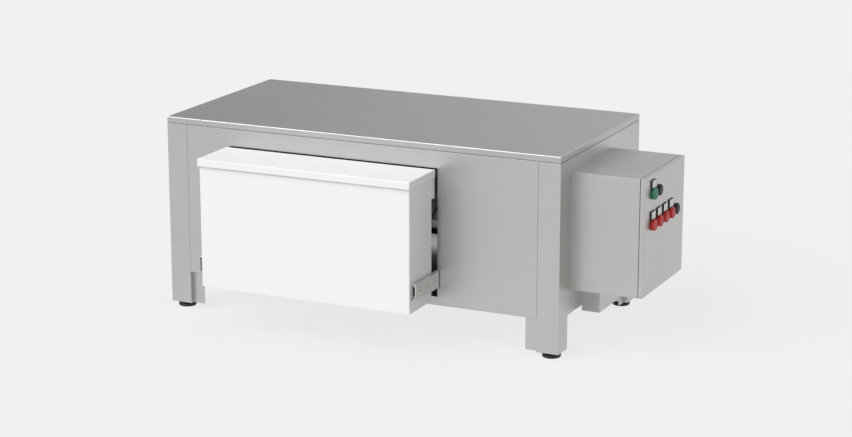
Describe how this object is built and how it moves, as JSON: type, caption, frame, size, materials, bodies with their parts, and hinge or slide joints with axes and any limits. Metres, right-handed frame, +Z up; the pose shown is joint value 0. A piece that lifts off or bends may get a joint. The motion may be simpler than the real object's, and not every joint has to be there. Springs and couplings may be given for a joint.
{
  "type": "flake ice machine",
  "caption": "Low steel flake ice machine on legs, with a white ice hood on drawer slides, a lift-off lid and a hinged control box at its right side.",
  "frame": {"origin": "middle of the overall box, on the floor", "axes": "+X to the machine's right along its length, +Y to its back, +Z up"},
  "size_m": [1.387, 0.782, 0.548],
  "materials": {
    "stainless_sheet": "fine satin stainless sheet",
    "white_plastic": "white polyethylene board, satin",
    "slide_steel": "bright rolled steel",
    "black_plastic": "moulded black plastic",
    "dark_grey_plastic": "moulded dark grey plastic",
    "button_black": "moulded black cap",
    "white_label": "blank white engraving plastic",
    "green_lens": "translucent green lens",
    "red_lens": "translucent red lens",
    "gasket_rubber": "soft black foam rubber",
    "terminal_grey": "grey moulded terminals",
    "gearbox_paint": "blue grey enamel on cast aluminium",
    "drum_chrome": "hard chromed and ground",
    "cast_bearing": "cast flange unit",
    "machined_steel": "machined stainless plate",
    "brass": "turned brass",
    "copper": "drawn copper tube",
    "grey_pipe": "grey plastic pipe",
    "float_plastic": "moulded float on a brass rod",
    "zinc_steel": "zinc plated steel"
  },
  "bodies": {
    "housing": {"front_left_leg": "stainless_sheet", "front_right_leg": "stainless_sheet", "rear_left_leg": "stainless_sheet", "rear_right_leg": "stainless_sheet", "levelling_feet": "black_plastic", "front_panel": "stainless_sheet", "left_side_panel": "stainless_sheet", "right_side_panel": "stainless_sheet", "rear_panel": "stainless_sheet", "base_plate": "stainless_sheet", "top_cover": "stainless_sheet", "slide_brackets": "zinc_steel", "left_slide_outer": "slide_steel", "right_slide_outer": "slide_steel", "drum_stands": "machined_steel", "drum_bearings": "cast_bearing", "water_tank": "stainless_sheet", "tank_saddles": "machined_steel", "scraper_knife": "machined_steel", "knife_holder": "machined_steel", "ice_chute": "stainless_sheet", "gearbox": "gearbox_paint", "drive_motor": "gearbox_paint", "rotary_union": "brass", "suction_pipe": "copper", "liquid_line": "brass", "float_chamber": "stainless_sheet", "feed_pipe": "grey_pipe", "water_inlet": "brass", "drain_pipe": "grey_pipe", "safety_switch": "dark_grey_plastic", "control_box": "stainless_sheet", "cable_duct": "stainless_sheet", "box_hinge_leaves": "stainless_sheet", "mounting_plate": "zinc_steel", "contactors": "black_plastic", "terminal_strip": "terminal_grey"},
    "slide_middle": {"left_slide_middle": "slide_steel", "right_slide_middle": "slide_steel"},
    "hood": {"hood_shell": "white_plastic", "hood_lid": "white_plastic", "switch_magnet": "dark_grey_plastic", "left_slide_inner": "slide_steel", "right_slide_inner": "slide_steel"},
    "control_door": {"control_door": "stainless_sheet", "door_gasket": "gasket_rubber", "door_hinge_leaves": "stainless_sheet", "label_holders": "black_plastic", "label_inserts": "white_label", "green_lamp": "green_lens", "red_lamp_1": "red_lens", "red_lamp_2": "red_lens", "red_lamp_3": "red_lens", "red_lamp_4": "red_lens", "button_bezels": "black_plastic", "contact_blocks": "black_plastic"},
    "start_button": {"start_button": "button_black"},
    "reset_button": {"reset_button": "button_black"},
    "drum": {"evaporator_drum": "drum_chrome"},
    "float": {"float_arm": "float_plastic"}
  },
  "joints": [
    {"name": "hood_slide", "type": "slide", "parent": "housing", "child": "hood", "axis": [0, -1, 0], "range_m": [0, 0.28]},
    {"name": "middle_slide", "type": "slide", "parent": "housing", "child": "slide_middle", "axis": [0, -1, 0], "range_m": [0, 0.14]},
    {"name": "door_hinge", "type": "hinge", "parent": "housing", "child": "control_door", "pos_m": [0.66925, 0.161, 0.3345], "axis": [0, 0, 1], "range_deg": [0, 110]},
    {"name": "start_press", "type": "slide", "parent": "control_door", "child": "start_button", "axis": [-1, 0, 0], "range_m": [0, 0.004], "stiffness_N_per_m": 400},
    {"name": "reset_press", "type": "slide", "parent": "control_door", "child": "reset_button", "axis": [-1, 0, 0], "range_m": [0, 0.004], "stiffness_N_per_m": 400},
    {"name": "drum_spin", "type": "hinge", "parent": "housing", "child": "drum", "pos_m": [-0.1855, 0.01, 0.313], "axis": [1, 0, 0], "continuous": true},
    {"name": "float_swing", "type": "hinge", "parent": "housing", "child": "float", "pos_m": [0.3735, 0.105, 0.303], "axis": [0, 1, 0], "range_deg": [-12, 14]}
  ],
  "couplings": [
    {"joint": "middle_slide", "follows": "hood_slide", "ratio": 0.5}
  ]
}
